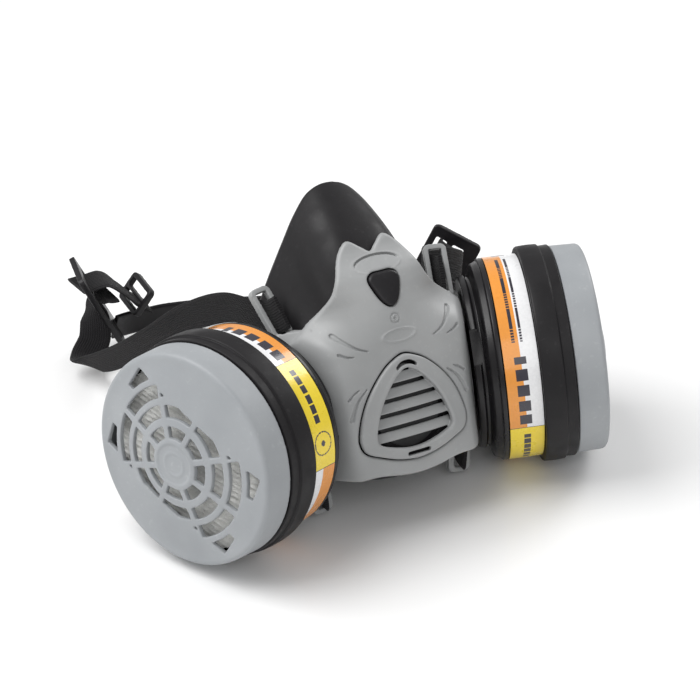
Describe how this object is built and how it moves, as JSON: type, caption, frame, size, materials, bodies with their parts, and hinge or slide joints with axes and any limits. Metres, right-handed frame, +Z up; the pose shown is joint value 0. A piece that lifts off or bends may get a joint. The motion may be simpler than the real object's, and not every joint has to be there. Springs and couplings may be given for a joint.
{
  "type": "half-mask respirator",
  "caption": "Reusable half-mask respirator: black soft facepiece, grey front shell with louvred exhalation valve, twin round combined filters and strap harness.",
  "frame": {"origin": "centre of the bounding box on the surface that the mask stands on", "axes": "+Z up, the mask looks along -Y with its chin and both filters on the surface, +X to the right seen from the front"},
  "size_m": [0.226, 0.229, 0.1216],
  "materials": {
    "shell_grey": "satin grey moulded shell",
    "cap_grey": "satin pale blue-grey cap",
    "black_elastomer": "matt black moulded elastomer",
    "black_plastic": "satin black",
    "label_print": "glossy orange, white and yellow bands, blank of words",
    "white_media": "pleated white fibre",
    "carbon": "bonded black granules",
    "flap_rubber": "thin smooth silicone",
    "webbing_black": "woven elastic webbing"
  },
  "bodies": {
    "mask": {"front_shell": "shell_grey", "face_seal": "black_elastomer", "shell_plug": "black_plastic", "exhalation_seat": "black_plastic", "inhalation_connector_left": "black_plastic", "inhalation_connector_right": "black_plastic"},
    "valve_cover": {"valve_cover": "shell_grey"},
    "exhalation_flap": {"exhalation_flap": "flap_rubber"},
    "head_harness": {"head_strap_left": "webbing_black", "head_strap_right": "webbing_black", "head_cradle": "black_plastic", "strap_tail_left": "webbing_black", "strap_slider_left": "black_plastic"},
    "neck_harness": {"neck_strap_left": "webbing_black", "neck_strap_right": "webbing_black", "neck_buckle_socket": "black_plastic", "neck_buckle_tongue": "black_plastic"},
    "filter_left": {"filter_base_left": "black_plastic", "canister_body_left": "black_plastic", "label_band_left": "label_print", "carbon_bed_left": "carbon", "retainer_ring_left": "black_plastic", "pleated_pad_left": "white_media"},
    "cap_left": {"filter_cap_left": "cap_grey"},
    "inhalation_flap_left": {"inhalation_flap_left": "flap_rubber"},
    "filter_right": {"filter_base_right": "black_plastic", "canister_body_right": "black_plastic", "label_band_right": "label_print", "carbon_bed_right": "carbon", "retainer_ring_right": "black_plastic", "pleated_pad_right": "white_media"},
    "cap_right": {"filter_cap_right": "cap_grey"},
    "inhalation_flap_right": {"inhalation_flap_right": "flap_rubber"}
  },
  "joints": [
    {"name": "valve_cover_pull", "type": "slide", "parent": "mask", "child": "valve_cover", "axis": [0, -0.9272, 0.3746], "range_m": [0, 0.015]},
    {"name": "exhalation_flap_lift", "type": "slide", "parent": "mask", "child": "exhalation_flap", "axis": [0, -0.9272, 0.3746], "range_m": [0, 0.001], "stiffness_N_per_m": 60},
    {"name": "head_harness_swing", "type": "hinge", "parent": "mask", "child": "head_harness", "pos_m": [0, -0.04194, 0.0816], "axis": [1, 0, 0], "range_deg": [0, 7]},
    {"name": "neck_harness_swing", "type": "hinge", "parent": "mask", "child": "neck_harness", "pos_m": [0, -0.07054, 0.0119], "axis": [1, 0, 0], "range_deg": [0, 8]},
    {"name": "filter_twist_left", "type": "hinge", "parent": "mask", "child": "filter_left", "pos_m": [-0.0708, -0.06414, 0.04573], "axis": [-0.9117, -0.3964, 0.108], "range_deg": [0, 35]},
    {"name": "cap_pull_left", "type": "slide", "parent": "filter_left", "child": "cap_left", "axis": [-0.9117, -0.3964, 0.108], "range_m": [0, 0.02]},
    {"name": "inhalation_flap_lift_left", "type": "slide", "parent": "mask", "child": "inhalation_flap_left", "axis": [0.9117, 0.3964, -0.108], "range_m": [0, 0.0018], "stiffness_N_per_m": 60},
    {"name": "filter_twist_right", "type": "hinge", "parent": "mask", "child": "filter_right", "pos_m": [0.0708, -0.06414, 0.04573], "axis": [0.9117, -0.3964, 0.108], "range_deg": [0, 35]},
    {"name": "cap_pull_right", "type": "slide", "parent": "filter_right", "child": "cap_right", "axis": [0.9117, -0.3964, 0.108], "range_m": [0, 0.02]},
    {"name": "inhalation_flap_lift_right", "type": "slide", "parent": "mask", "child": "inhalation_flap_right", "axis": [-0.9117, 0.3964, -0.108], "range_m": [0, 0.0018], "stiffness_N_per_m": 60}
  ]
}
